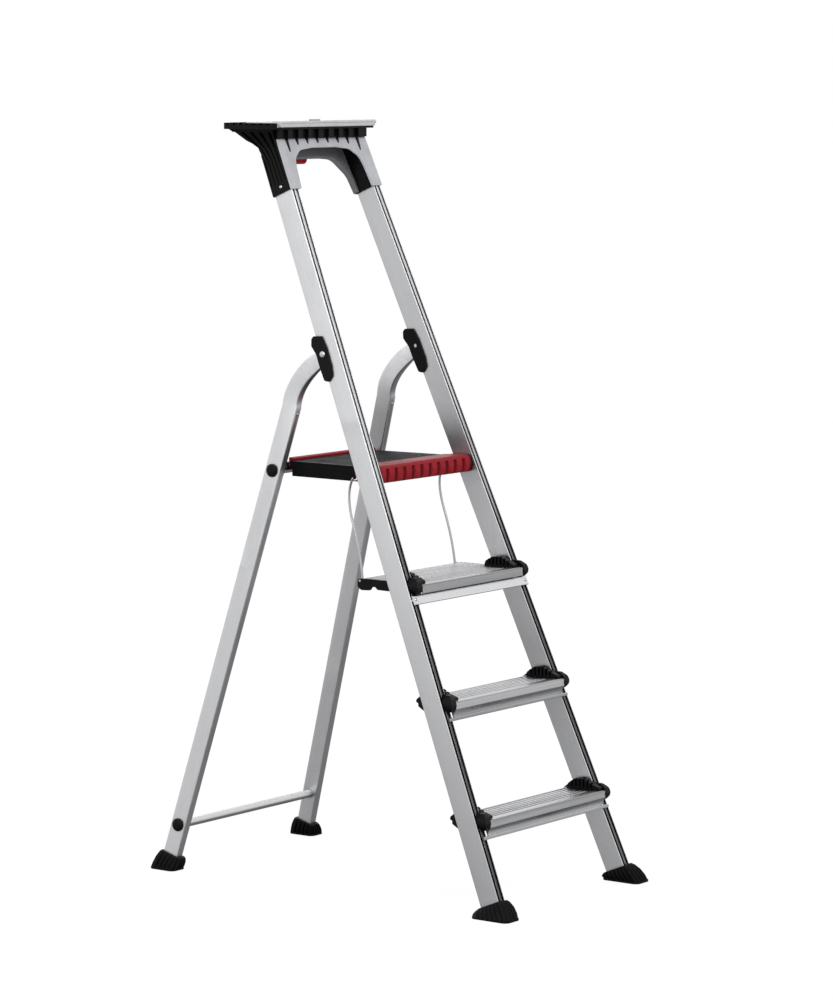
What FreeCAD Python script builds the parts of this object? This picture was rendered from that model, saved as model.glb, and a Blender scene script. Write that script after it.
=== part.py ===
import FreeCAD, Part
import Sketcher
import math
import os

# Platform step ladder, opened for use.
# +Z is up, the climbing side faces -Y and X runs across the ladder.
# Origin: on the floor, midway between the two sides and midway between
# the front edge of the front feet and the rear edge of the rear feet.

Vector = FreeCAD.Vector
Placement = FreeCAD.Placement
Rotation = FreeCAD.Rotation
os.makedirs("parts", exist_ok=True)
doc = FreeCAD.newDocument("PlatformStepLadder")

# ------------------------------------------------------- driving dimensions
# Leans are in degrees from the vertical, tapers are the loss of half width per mm of height.
SIZES = [
    # front stiles
    ("stileLean", 22.63), ("stileWidth", 22.2), ("stileDepth", 46.0),
    ("stileWall", 1.8), ("stileFrontY", -435.0), ("stileHalf", 235.16),
    ("stileTaper", 0.0611), ("stileStart", 27.0), ("stileLength", 1630.0),
    ("grooveWidth", 6.6), ("grooveDepth", 4.6),
    # treads
    ("treadPitch", 225.0), ("treadFirst", 188.9), ("treadThick", 38.0),
    ("treadDepth", 87.0), ("treadNose", 24.0), ("deepDepth", 157.0),
    # rear legs and their hinge
    ("legLean", 15.8), ("legWidth", 18.4), ("legDepth", 37.5),
    ("legWall", 1.6), ("legFloorY", 424.84), ("legHalf", 237.6),
    ("legTaper", 0.0703), ("hingeY", 60.5), ("hingeZ", 1087.0),
    ("hingePin", 4.0), ("tabThick", 7.0),
    # tubes across the rear legs
    ("tubeRadius", 9.0), ("tubeWall", 1.5), ("restY", 185.7), ("restZ", 844.9),
    ("crossY", 398.0), ("crossZ", 94.8), ("capRadius", 13.5),
    # platform, its pins and its stays
    ("deckTop", 863.0), ("deckFoot", 832.0), ("deckFront", -75.0),
    ("deckRear", 170.0), ("liftY", -55.0), ("liftZ", 848.0),
    ("liftPin", 4.0), ("tiltY", -176.7), ("tiltZ", 630.0),
    ("tiltPin", 3.5), ("stayRadius", 2.5), ("stayLowY", -31.0),
    ("stayLowZ", 634.0), ("stayTopY", -3.0), ("stayTopZ", 838.0),
    # tray, feet and the clearance round moving pins
    ("trayTop", 1554.0), ("trayHalf", 164.0), ("trayFront", 176.0),
    ("trayRear", 345.0), ("solePlate", 4.0), ("footHalf", 257.0),
    ("footEnd", 457.0), ("runGap", 0.06),
]


class Dimensions:
    """The values of the sheet as attributes."""

    def __init__(self, sheet):
        for alias, _ in SIZES:
            setattr(self, alias, float(sheet.get(alias)))


def make_sheet():
    sheet = doc.addObject("Spreadsheet::Sheet", "Sizes")
    for row, (alias, value) in enumerate(SIZES, 1):
        sheet.set("A%d" % row, alias)
        sheet.set("B%d" % row, str(value))
        sheet.setAlias("B%d" % row, alias)
    doc.recompute()
    return sheet


dim = Dimensions(make_sheet())

SIDES = (("left", -1), ("right", 1))
STILE_SLOPE = math.tan(math.radians(dim.stileLean))
STILE_COS = math.cos(math.radians(dim.stileLean))
STILE_SIN = math.sin(math.radians(dim.stileLean))
LEG_SLOPE = math.tan(math.radians(dim.legLean))
LEG_RISE = 1.0 / math.sqrt(1 + LEG_SLOPE ** 2 + dim.legTaper ** 2)  # height per mm of leg
# turn whose local x is +Y, local y is +Z and normal is +X
ACROSS = Rotation(Vector(1, 1, 1), 120)


# ------------------------------------------------------------------ frames
def front_y(z):
    """Front face line of the stiles."""
    return dim.stileFrontY + z * STILE_SLOPE


def stile_half(z):
    """Half width over the outer faces of the stiles."""
    return dim.stileHalf - dim.stileTaper * z


def leg_half(z):
    """Half width over the outer faces of the rear legs."""
    return dim.legHalf - dim.legTaper * z


def moved(x, y, z):
    return Placement(Vector(x, y, z), Rotation())


def shifted(place, x, y, z):
    """The placement moved along its own axes."""
    return Placement(place.multVec(Vector(x, y, z)), place.Rotation)


def frame_of(origin, direction):
    """Placement whose local z runs along direction and local x stays closest to +X."""
    along = Vector(direction).normalize()
    side = (Vector(1, 0, 0) - along * along.x).normalize()
    up = along.cross(side)
    return Placement(FreeCAD.Matrix(side.x, up.x, along.x, origin.x,
                                    side.y, up.y, along.y, origin.y,
                                    side.z, up.z, along.z, origin.z,
                                    0, 0, 0, 1))


def facing_front(place, y=0.0):
    """Sketch plane whose normal is the local -Y of the placement."""
    return place.multiply(Placement(Vector(0, y, 0), Rotation(Vector(1, 0, 0), 90)))


def stile_place(sign):
    """Foot of a stile: centred in its width, on its front face."""
    origin = Vector(sign * (dim.stileHalf - dim.stileWidth / 2), dim.stileFrontY, 0)
    return frame_of(origin, Vector(-sign * dim.stileTaper, STILE_SLOPE, 1))


def leg_place(sign):
    """Foot of a rear leg, on its centre line."""
    origin = Vector(sign * (dim.legHalf - dim.legWidth / 2), dim.legFloorY, 0)
    return frame_of(origin, Vector(-sign * dim.legTaper, -LEG_SLOPE, 1))


def local(place, x, y, z):
    return place.inverse().multVec(Vector(x, y, z))


def inner_x(y, z):
    """X of the inner face of the right stile at this Y and Z."""
    place = stile_place(1)
    at_zero = local(place, 0, y, z).x
    per_mm = local(place, 1, y, z).x - at_zero
    return (-dim.stileWidth / 2 - at_zero) / per_mm


# X of the centre of the leg tab, in the middle of the stile at the hinge
TAB_X = stile_half(dim.hingeZ) - dim.stileWidth / 2


def hinge_local(place, sign):
    return local(place, sign * TAB_X, dim.hingeY, dim.hingeZ)


# ----------------------------------------------------- bodies and sketches
PARTS = []


def new_body(label, place=None):
    body = doc.addObject("PartDesign::Body", "B_" + label)
    body.Label = label
    if place is not None:
        body.Placement = place
    PARTS.append(body)
    return body


def bind_yz(body, name):
    """Tie the Y and Z of a body to the sheet."""
    body.setExpression("Placement.Base.y", "Sizes.%sY" % name)
    body.setExpression("Placement.Base.z", "Sizes.%sZ" % name)


def origin_feature(body, role):
    return next(f for f in body.Origin.OriginFeatures if f.Role == role)


def attach_sketch(body, plane, offset):
    sketch = body.newObject("Sketcher::SketchObject", "Sketch")
    sketch.AttachmentSupport = [(origin_feature(body, plane), "")]
    sketch.MapMode = "FlatFace"
    sketch.AttachmentOffset = offset
    return sketch


def sketch_on(body, plane, offset=0.0, bound=None):
    """Sketch on a plane of the body, moved along its normal."""
    sketch = attach_sketch(body, plane, moved(0, 0, offset))
    if bound:
        sketch.setExpression("AttachmentOffset.Base.z", bound)
    return sketch


def sketch_at(body, place):
    """Sketch at a placement in ladder coordinates."""
    return attach_sketch(body, "XY_Plane", body.Placement.inverse().multiply(place))


def round_corner(before, corner, after, radius):
    """Start, middle and end of a corner's arc; a sharp corner has no middle."""
    if radius > 0:
        to_before = (before - corner).normalize()
        to_after = (after - corner).normalize()
        angle = to_before.getAngle(to_after)
        if 0.02 <= angle <= math.pi - 0.02:
            # the arc takes less than half of either neighbouring line
            reach = min(radius / math.tan(angle / 2),
                        0.48 * (before - corner).Length, 0.48 * (after - corner).Length)
            radius = reach * math.tan(angle / 2)
            bisector = (to_before + to_after).normalize()
            centre = corner + bisector * (radius / math.sin(angle / 2))
            return (corner + to_before * reach, centre - bisector * radius,
                    corner + to_after * reach)
    return corner, None, corner


def outline(sketch, points):
    """Closed outline; a point's third number rounds that corner."""
    count = len(points)
    corners = [Vector(point[0], point[1], 0) for point in points]
    bends = []
    for i, point in enumerate(points):
        radius = point[2] if len(point) > 2 else 0.0
        bends.append(round_corner(corners[i - 1], corners[i], corners[(i + 1) % count], radius))
    for i, (start, middle, end) in enumerate(bends):
        if middle:
            sketch.addGeometry(Part.Arc(start, middle, end), False)
        following = bends[(i + 1) % count][0]
        if (end - following).Length > 1e-6:
            sketch.addGeometry(Part.LineSegment(end, following), False)


def mirrored(points, centre=0.0):
    """The points of one half, followed by their mirror image in reverse order."""
    return points + [(2 * centre - p[0],) + tuple(p[1:]) for p in reversed(points)]


def rect(sketch, x0, y0, x1, y1, radius=0.0):
    outline(sketch, [(x0, y0, radius), (x1, y0, radius), (x1, y1, radius), (x0, y1, radius)])


def centred_rect(sketch, width, depth, radius=0.0):
    rect(sketch, -width / 2, -depth / 2, width / 2, depth / 2, radius)


def circle(sketch, x, y, radius, bound=None):
    index = sketch.addGeometry(Part.Circle(Vector(x, y, 0), Vector(0, 0, 1), radius), False)
    constraint = sketch.addConstraint(Sketcher.Constraint("Radius", index, radius))
    if bound:
        sketch.setExpression("Constraints[%d]" % constraint, bound)


def sized_circle(sketch, x, y, alias):
    """Circle whose radius is a dimension of the sheet."""
    circle(sketch, x, y, getattr(dim, alias), "Sizes." + alias)


def loose_circle(sketch, x, y, alias):
    """Hole in which a pin of this radius turns."""
    circle(sketch, x, y, getattr(dim, alias) + dim.runGap, "Sizes.%s + Sizes.runGap" % alias)


def tube_bore(sketch):
    circle(sketch, 0, 0, dim.tubeRadius - dim.tubeWall, "Sizes.tubeRadius - Sizes.tubeWall")


# ---------------------------------------------------------------- features
def extrude(body, kind, sketch, length, middle, reverse, bound=None):
    feature = body.newObject("PartDesign::" + kind, kind)
    feature.Profile = sketch
    feature.Length = length
    # the name of the symmetric setting depends on the FreeCAD release
    if middle and hasattr(feature, "SideType"):
        feature.SideType = "Symmetric"
    elif middle:
        feature.Midplane = True
    feature.Reversed = reverse
    if bound:
        feature.setExpression("Length", bound)
    body.Tip = feature
    doc.recompute()
    return feature


def pad(body, sketch, length, bound=None, middle=False, reverse=False):
    extrude(body, "Pad", sketch, length, middle, reverse, bound)


def pocket(body, sketch, length, middle=False, reverse=False):
    before = body.Shape.Volume
    feature = extrude(body, "Pocket", sketch, length, middle, reverse)
    if not (feature.Shape.Volume < before - 1e-3):
        raise RuntimeError("pocket cut nothing in " + body.Label)


def drill(body, name, length):
    """Hole along X for the named pin, centred on the middle plane of the ladder."""
    sketch = sketch_at(body, Placement(Vector(), ACROSS))
    sized_circle(sketch, getattr(dim, name + "Y"), getattr(dim, name + "Z"), name + "Pin")
    pocket(body, sketch, length, middle=True)


def revolve(body, points, axis):
    """Turn an outline drawn in the XY plane about an axis of the body."""
    sketch = sketch_on(body, "XY_Plane")
    outline(sketch, points)
    feature = body.newObject("PartDesign::Revolution", "Revolution")
    feature.Profile = sketch
    feature.ReferenceAxis = (origin_feature(body, axis), [""])
    feature.Angle = 360
    body.Tip = feature
    doc.recompute()


def loft(body, sections, ruled=True):
    feature = body.newObject("PartDesign::AdditiveLoft", "Loft")
    feature.Profile = sections[0]
    feature.Sections = [(section, [""]) for section in sections[1:]]
    feature.Ruled = ruled
    body.Tip = feature
    doc.recompute()


def fillet(body, wanted, radius):
    """Round the edges of the tip that are wanted."""
    base = body.Tip
    names = ["Edge%d" % i for i, edge in enumerate(base.Shape.Edges, 1) if wanted(edge)]
    if not names:
        raise RuntimeError("no edge to round in " + body.Label)
    feature = body.newObject("PartDesign::Fillet", "Fillet")
    feature.Base = (base, names)
    feature.Radius = radius
    body.Tip = feature
    doc.recompute()


# ------------------------------------------------------------------ stiles
def stile(side, sign):
    """Hollow rectangular extrusion with two long grooves in its front face."""
    place = stile_place(sign)
    body = new_body("stile_" + side, place)
    half, depth, wall = dim.stileWidth / 2, dim.stileDepth, dim.stileWall
    deep = dim.grooveDepth
    groove_out = half - 2.0
    groove_in = groove_out - dim.grooveWidth
    sketch = sketch_on(body, "XY_Plane", dim.stileStart, bound="Sizes.stileStart")
    outline(sketch, mirrored([
        (-half, depth, 2.0), (-half, 0, 1.2), (-groove_out, 0, 0.4), (-groove_out, deep, 0.8),
        (-groove_in, deep, 0.8), (-groove_in, 0.3, 0.5)]))
    rect(sketch, -half + wall, deep + 1.6, half - wall, depth - wall, 1.0)
    pad(body, sketch, dim.stileLength, "Sizes.stileLength")
    # opening in the rear wall for the leg tab
    hinge = hinge_local(place, sign)
    sketch = sketch_on(body, "XZ_Plane", -(depth + 1))
    outline(sketch, mirrored([
        (hinge.x - 5.4, hinge.z + 24, 2), (hinge.x - 5.4, hinge.z - 12),
        (hinge.x - 8.8, hinge.z - 62, 2)], hinge.x))
    pocket(body, sketch, 8.0, reverse=True)
    drill(body, "hinge", 700)
    # the platform pin goes through the inner wall only
    drill(body, "lift", 2 * (stile_half(dim.liftZ) - half))


for side, sign in SIDES:
    stile(side, sign)


# ------------------------------------------------------------------ treads
TREAD_TOPS = [dim.treadFirst + i * dim.treadPitch for i in range(3)]
FIXED_TREADS = (("bottom", 0), ("middle", 1))


def tread_front(top):
    """Y of the front of a tread whose top is at this height."""
    return front_y(top) - dim.treadNose


def ribbed_top(start, end):
    """Top outline from start to end: lands with a fine score line between sloping grooves."""
    land, deep = 5.0, 1.5
    count = int(round((end - start) / 10.4))
    pitch = (end - start) / count
    points = []
    for i in range(count):
        y = start + i * pitch
        points += [(y, 0), (y + land / 2 - 0.4, 0), (y + land / 2, -0.5), (y + land / 2 + 0.4, 0),
                   (y + land, 0), (y + land + 1.0, -deep), (y + pitch - 1.0, -deep)]
    return points + [(end, 0)]


def tread(name, index):
    """Closed extrusion: ribbed top, rounded nose, channel and lower front lip."""
    top = TREAD_TOPS[index]
    front, depth, lip = tread_front(top), dim.treadDepth, -dim.treadThick
    body = new_body("tread_" + name, moved(0, front, top))
    body.setExpression("Placement.Base.z",
                       "Sizes.treadFirst + %d * Sizes.treadPitch" % index)
    sketch = sketch_on(body, "YZ_Plane")
    outline(sketch, [(0, -7, 4), (0, 0, 4), (10, 0)] + ribbed_top(15, depth - 6) + [
        (depth, 0, 3), (depth, -24, 1), (depth - 2.4, -24, 1), (depth - 2.4, -3.9),
        (46, -3.9), (46, -20.5), (12.6, -20.5, 1), (10.6, -30, 2), (5.5, -33.5, 1),
        (5.5, lip, 0.8), (2.5, lip, 0.8), (2.5, -31.6, 1), (7.6, -28.6, 1), (0, -15.2, 1.2)])
    outline(sketch, [(2.4, -12), (2.4, -5, 2), (6, -3.9, 2), (43.6, -3.9), (43.6, -18),
                     (5.8, -18)])
    pad(body, sketch, 2 * (inner_x(front + depth, top) - 3.0), middle=True)
    # the lip continues across the front of both stiles
    sketch = sketch_on(body, "YZ_Plane")
    outline(sketch, [(5.5, -31.6), (5.5, lip, 0.8), (2.5, lip, 0.8), (2.5, -31.6)])
    pad(body, sketch, 2 * (stile_half(top - 30) - 6), middle=True)
    # the nose reaches in front of both stiles up to the domes
    sketch = sketch_on(body, "YZ_Plane")
    outline(sketch, [(0, 0, 4), (19, 0), (13.5, -18), (9.0, -29.5), (8.0, -32.6), (2.6, -32.6),
                     (7.4, -28.5), (0, -15.2, 1.2)])
    pad(body, sketch, 2 * (stile_half(top) - dim.stileWidth + 1.6), middle=True)


for name, index in FIXED_TREADS:
    tread(name, index)

# ---------------------------------------------------------- deep top tread
DEEP_TOP = TREAD_TOPS[2]
DEEP_FRONT = tread_front(DEEP_TOP)
DEEP_INNER = stile_half(DEEP_TOP) - dim.stileWidth  # half the gap between the stiles
DEEP_HALF = DEEP_INNER - 6.2                        # half width over the end caps
CAP_THICK = 5.0
TILT_PIN_END = DEEP_INNER + 11                      # X where the tilt pins end
RAIL_Z = DEEP_TOP - 31
RAIL_HALF = stile_half(RAIL_Z)
RAIL_PLACE = Placement(Vector(0, front_y(RAIL_Z), RAIL_Z),
                       Rotation(Vector(1, 0, 0), -dim.stileLean))
RAIL_SCREW_X = RAIL_HALF - 8.5


def top_tread_panel():
    body = new_body("top_tread_panel", moved(0, DEEP_FRONT, DEEP_TOP))
    depth = dim.deepDepth
    sketch = sketch_on(body, "YZ_Plane")
    outline(sketch, [(0, 0, 3.5), (9, 0)] + ribbed_top(13, depth - 7) + [
        (depth, 0, 3), (depth, -14, 1), (depth - 2.4, -14, 1), (depth - 2.4, -3.9),
        (100, -3.9), (92, -16), (5, -16, 1), (2.0, -15), (2.0, -18, 0.6), (0, -18, 0.6)])
    outline(sketch, [(2.2, -12), (2.2, -5.2, 1), (6, -3.9, 1), (96.5, -3.9), (90, -13.6),
                     (4, -13.6)])
    pad(body, sketch, 2 * (DEEP_HALF - CAP_THICK), middle=True)
    # the nose runs on past the end caps, almost to the stiles
    sketch = sketch_on(body, "YZ_Plane")
    outline(sketch, [(0, -18, 0.6), (0, 0, 3.5), (8.6, 0), (8.6, -15), (2.0, -15),
                     (2.0, -18, 0.6)])
    pad(body, sketch, 2 * (DEEP_INNER - 0.4), middle=True)


def top_tread_cap(side, sign):
    """End cap of the deep tread, with the lug that carries the stay and a ribbed wedge."""
    body = new_body("top_tread_cap_" + side,
                    moved(sign * (DEEP_HALF - CAP_THICK / 2), DEEP_FRONT, DEEP_TOP))
    depth = dim.deepDepth
    stay_y, stay_z = dim.stayLowY - DEEP_FRONT, dim.stayLowZ - DEEP_TOP
    sketch = sketch_on(body, "YZ_Plane")
    outline(sketch, [
        (9.2, -0.3), (depth - 10, -0.3, 4), (depth + 1, -0.8, 3),
        (stay_y + 6.5, stay_z + 4, 4), (stay_y + 6.5, -18.5, 8), (stay_y - 4, -24.0, 6),
        (137, -23.0, 5), (132.5, -15.5, 3), (123, -15.5, 3), (118, -20.5, 4),
        (96, -21, 6), (60, -21, 6), (50, -16.5, 4), (12, -16.5, 3), (9.2, -14.5)])
    loose_circle(sketch, dim.tiltY - DEEP_FRONT, dim.tiltZ - DEEP_TOP, "tiltPin")
    loose_circle(sketch, stay_y, stay_z, "stayRadius")
    pad(body, sketch, CAP_THICK, middle=True)
    # wedge on the tread beside the stile, first over the cap, then inwards over the panel
    slope = [(9.2, 5.5, 3), (20, 10.5, 8), (42, 20.5, 12), (66, 18.5, 12), (80, 9, 5)]
    sketch = sketch_on(body, "YZ_Plane", sign * CAP_THICK / 2)
    outline(sketch, [(9.2, -0.8)] + slope + [(83, -0.8)])
    pad(body, sketch, CAP_THICK, reverse=sign > 0)
    sketch = sketch_on(body, "YZ_Plane", -sign * (CAP_THICK / 2 - 0.4))
    outline(sketch, [(9.2, 0.15)] + slope + [(82.6, 0.15)])
    pad(body, sketch, 10.5, reverse=sign > 0)
    # slots between the ribs of the wedge
    sketch = sketch_on(body, "YZ_Plane", -sign * (CAP_THICK / 2 + 10.1))
    for k in range(6):
        y = 21 + 9.2 * k
        rect(sketch, y, 3.2, y + 4.2, 30)
    pocket(body, sketch, 6, reverse=sign > 0)


def top_tread_rail():
    """Front rail below the deep tread, fastened across the stiles."""
    body = new_body("top_tread_rail", RAIL_PLACE)
    sketch = sketch_on(body, "YZ_Plane")
    outline(sketch, [(-6.5, -10.5, 1.5), (-6.5, 8.5, 1.5), (-3.5, 8.5), (-3.5, 2), (0, 2),
                     (0, -2), (-3.5, -2), (-3.5, -10.5)])
    pad(body, sketch, 2 * (RAIL_HALF - 1.0), middle=True)
    # web behind the gap below the tread, between the stiles
    sketch = sketch_on(body, "YZ_Plane")
    outline(sketch, [(-1, 2), (4.2, 11.6), (6.2, 11.6), (6.2, 9.6), (1.4, -2), (-1, -2)])
    pad(body, sketch, 2 * (DEEP_HALF - 1.0), middle=True)
    # screw holes
    sketch = sketch_on(body, "XZ_Plane", 7.0)
    for _, sign in SIDES:
        circle(sketch, sign * RAIL_SCREW_X, 0, 1.8)
    pocket(body, sketch, 20)


def rail_screw(side, sign):
    """Round-headed screw with a hexagonal recess."""
    body = new_body("rail_screw_" + side, shifted(RAIL_PLACE, sign * RAIL_SCREW_X, -6.5, 0))
    revolve(body, [(0, -1.7), (1.6, -1.6, 0.6), (3.4, -0.5, 0.5), (3.4, 0), (1.8, 0),
                   (1.8, 6.3), (0, 6.3)], "Y_Axis")
    sketch = sketch_on(body, "XZ_Plane", 2.0)
    angles = [math.radians(60 * k) for k in range(6)]
    outline(sketch, [(1.15 * math.cos(angle), 1.15 * math.sin(angle)) for angle in angles])
    pocket(body, sketch, 1.4)


top_tread_panel()
for side, sign in SIDES:
    top_tread_cap(side, sign)
top_tread_rail()
for side, sign in SIDES:
    rail_screw(side, sign)


# -------------------------------------------------- joints of the treads
def leaned(points):
    """Outline in level coordinates, turned into the leaning frame of a stile."""
    return [(p[0] * STILE_COS - p[1] * STILE_SIN, p[0] * STILE_SIN + p[1] * STILE_COS)
            + tuple(p[2:]) for p in points]


def tread_bracket(name, index, side, sign):
    """Plate on the inner face of the stile with a lobe behind it and a ribbed wedge."""
    top = TREAD_TOPS[index]
    front, depth = tread_front(top), dim.treadDepth
    wedge = 13.5
    place = stile_place(sign)
    corner = local(place, sign * inner_x(front, top), front, top)
    body = new_body("tread_bracket_%s_%s" % (name, side),
                    shifted(place, -sign * dim.stileWidth / 2, corner.y, corner.z))
    sketch = sketch_on(body, "YZ_Plane")
    outline(sketch, leaned([
        (24.5, -20, 2), (24.5, 11, 2), (46, 24, 10), (72, 18, 12), (90, 4, 8),
        (depth + 13, -4, 4), (depth + 15, -10, 3), (depth + 8, -12, 3), (depth + 9, -18, 5),
        (depth - 6, -26, 6), (26, -27, 3)]))
    pad(body, sketch, 2.6, reverse=sign > 0)
    sketch = sketch_on(body, "YZ_Plane")
    outline(sketch, leaned([(6, 1.2, 1), (6, 7, 4), (22, 12, 8), (44, 22.5, 12), (68, 20, 12),
                            (82, 9, 5), (85, 1.2)]))
    pad(body, sketch, wedge, reverse=sign > 0)
    # slots between the ribs of the wedge
    sketch = sketch_on(body, "YZ_Plane", -sign * wedge)
    for k in range(6):
        y = 23 + 9.2 * k
        outline(sketch, leaned([(y, 4.2), (y + 4.2, 4.2), (y + 4.2, 30), (y, 30)]))
    pocket(body, sketch, 7, reverse=sign > 0)


def tread_dome(name, index, side, sign):
    """Rounded cover in front of the stile at the end of a tread."""
    top = TREAD_TOPS[index]
    body = new_body("tread_dome_%s_%s" % (name, side),
                    moved(sign * (stile_half(top) - dim.stileWidth + 1.9), tread_front(top), top))

    def stile_face(z):
        """Y of the sloping front of the stile, which the rear side lies on."""
        return dim.treadNose + z * STILE_SLOPE - 0.05

    sketch = sketch_on(body, "YZ_Plane")
    outline(sketch, [(-1.5, -6, 6), (2.0, 5, 6), (12, 12.5, 5), (stile_face(12.5), 12.5),
                     (stile_face(-20.5), -20.5), (4.5, -20.5, 4), (-0.5, -13, 5)])
    pad(body, sketch, 17.0, reverse=sign < 0)
    # the outer corners fall away
    sketch = sketch_on(body, "XZ_Plane", 10)
    outline(sketch, [(sign * 18, 14), (sign * 18, -3), (sign * 14.5, 4, 8),
                     (sign * 8.5, 11.2, 6), (sign * 4, 14)])
    outline(sketch, [(sign * 18, -22), (sign * 18, -9), (sign * 14, -16.5, 6),
                     (sign * 8, -22)])
    pocket(body, sketch, 60)
    if name == "top":
        drill(body, "tilt", 2 * TILT_PIN_END)


for name, index in FIXED_TREADS:
    for side, sign in SIDES:
        tread_bracket(name, index, side, sign)
for name, index in FIXED_TREADS + (("top", 2),):
    for side, sign in SIDES:
        tread_dome(name, index, side, sign)

# -------------------------------------------------------------------- feet
LEG_START = 19.0  # where the leg tube begins, measured along the leg
# share of the way up, share of the change in size, flute depth, corner radius
FOOT_STATIONS = (
    (0.0, 0.10, 3.0, 10), (0.25, 0.13, 3.8, 10), (0.58, 0.33, 3.8, 9),
    (0.86, 0.68, 2.8, 6), (1.0, 0.97, 1.2, 4),
)


def fluted(centre_x, centre_y, half_x, half_y, radius, deep, count_x, count_y):
    """Points of a rounded rectangle whose edge steps in and out in flutes."""
    x0, x1 = centre_x - half_x, centre_x + half_x
    y0, y1 = centre_y - half_y, centre_y + half_y
    stations = []  # x, y and the inward direction

    def straight(ax, ay, bx, by, inward_x, inward_y, count):
        for i in range(count):
            share = (i + 0.5) / count
            stations.append((ax + (bx - ax) * share, ay + (by - ay) * share,
                             inward_x, inward_y))

    def corner(x, y, first_angle):
        for i in range(4):
            angle = math.radians(first_angle + 90.0 * (i + 0.5) / 4)
            cos, sin = math.cos(angle), math.sin(angle)
            stations.append((x + radius * cos, y + radius * sin, -cos, -sin))

    straight(x0 + radius, y0, x1 - radius, y0, 0, 1, count_x)
    corner(x1 - radius, y0 + radius, -90)
    straight(x1, y0 + radius, x1, y1 - radius, -1, 0, count_y)
    corner(x1 - radius, y1 - radius, 0)
    straight(x1 - radius, y1, x0 + radius, y1, 0, -1, count_x)
    corner(x0 + radius, y1 - radius, 90)
    straight(x0, y1 - radius, x0, y0 + radius, 1, 0, count_y)
    corner(x0 + radius, y0 + radius, 180)
    # two stations out, two stations in
    return [(x + inward_x * deep * (k % 4 > 1), y + inward_y * deep * (k % 4 > 1))
            for k, (x, y, inward_x, inward_y) in enumerate(stations)]


def foot(label, place, sole_x, sole_y, half_x, half_y, neck, neck_half_x, neck_half_y, flutes_y):
    """Ribbed boot on a flat sole; neck is its upper centre in the placement of its tube."""
    body = new_body(label)
    sketch = sketch_on(body, "XY_Plane")
    rect(sketch, sole_x - half_x, sole_y - half_y, sole_x + half_x, sole_y + half_y, 12)
    pad(body, sketch, dim.solePlate, "Sizes.solePlate")
    axis = place.Rotation.multVec(Vector(0, 0, 1))
    low = Vector(sole_x, sole_y, dim.solePlate)
    high = place.multVec(neck)
    sections = []
    for rise, change, deep, radius in FOOT_STATIONS:
        if rise == 0.0:
            sketch = sketch_on(body, "XY_Plane", dim.solePlate, bound="Sizes.solePlate")
            x, y = sole_x, sole_y
        else:
            sketch = sketch_at(body, frame_of(low * (1 - rise) + high * rise,
                                              Vector(0, 0, 1) * (1 - rise) + axis * rise))
            x, y = 0.0, 0.0
        outline(sketch, fluted(x, y, half_x + (neck_half_x - half_x) * change,
                               half_y + (neck_half_y - half_y) * change,
                               radius, deep, 12, flutes_y))
        sections.append(sketch)
    loft(body, sections)
    return body


def cut_socket(body, place, width, depth):
    """Square socket that the tube is pressed into."""
    sketch = sketch_at(body, place)
    centred_rect(sketch, width, depth)
    pocket(body, sketch, 60, reverse=True)


def front_foot(side, sign):
    half_x, half_y = 25.0, 44.5
    width, depth = dim.stileWidth, dim.stileDepth
    place = stile_place(sign)
    body = foot("front_foot_" + side, place,
                sole_x=sign * (dim.footHalf - half_x), sole_y=half_y - dim.footEnd,
                half_x=half_x, half_y=half_y, neck=Vector(0, depth / 2, 38.5),
                neck_half_x=width / 2 + 3.4, neck_half_y=depth / 2 + 3.8, flutes_y=24)
    cut_socket(body, shifted(place, 0, depth / 2, dim.stileStart), width, depth)


def rear_foot(side, sign):
    half_x, half_y = 22.0, 32.75
    width, depth = dim.legWidth, dim.legDepth
    place = leg_place(sign)
    body = foot("rear_foot_" + side, place,
                sole_x=sign * (dim.footHalf - half_x), sole_y=dim.footEnd - half_y,
                half_x=half_x, half_y=half_y, neck=Vector(0, -0.5, 33.0),
                neck_half_x=width / 2 + 4.0, neck_half_y=depth / 2 + 5.6, flutes_y=16)
    cut_socket(body, shifted(place, 0, 0, LEG_START), width, depth)


for side, sign in SIDES:
    front_foot(side, sign)
for side, sign in SIDES:
    rear_foot(side, sign)

# --------------------------------------------------------------- rear legs
LEG_TOP = 978.0 / LEG_RISE      # end of the straight tube, along the leg
RIVET_REACH = 966.0 / LEG_RISE  # rivet below the bend, along the leg
TAB_RADIUS = 15.5
TAB_START = (dim.hingeY + 14, dim.hingeZ - 10.5)  # Y, Z where the flat tab begins


def leg_head(body, sign, place):
    """Bent head that flattens from the tube into the tab."""
    top_x = abs(place.multVec(Vector(0, 0, LEG_TOP)).x)
    # x, y, z, direction y, direction z, width, depth, corner radius
    stations = (
        (top_x - 1.6, 141.5, 1006.0, -0.50, 0.90, dim.legWidth - 0.4, dim.legDepth - 1.0, 2.5),
        ((top_x + TAB_X) / 2 - 1.0, 118.0, 1041.0, -0.66, 0.72, 16.0, 36.0, 2.5),
        (TAB_X + 0.2, 90.0, 1066.5, -0.77, 0.62, 11.0, 35.0, 2.0),
        (TAB_X, TAB_START[0], TAB_START[1], -0.80, 0.60, dim.tabThick, 31.0, 2.0),
    )
    sketch = sketch_at(body, shifted(place, 0, 0, LEG_TOP))
    centred_rect(sketch, dim.legWidth, dim.legDepth, 2.5)
    sections = [sketch]
    for x, y, z, along_y, along_z, width, depth, radius in stations:
        sketch = sketch_at(body, frame_of(Vector(sign * x, y, z), Vector(0, along_y, along_z)))
        centred_rect(sketch, width, depth, radius)
        sections.append(sketch)
    loft(body, sections, ruled=False)


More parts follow.
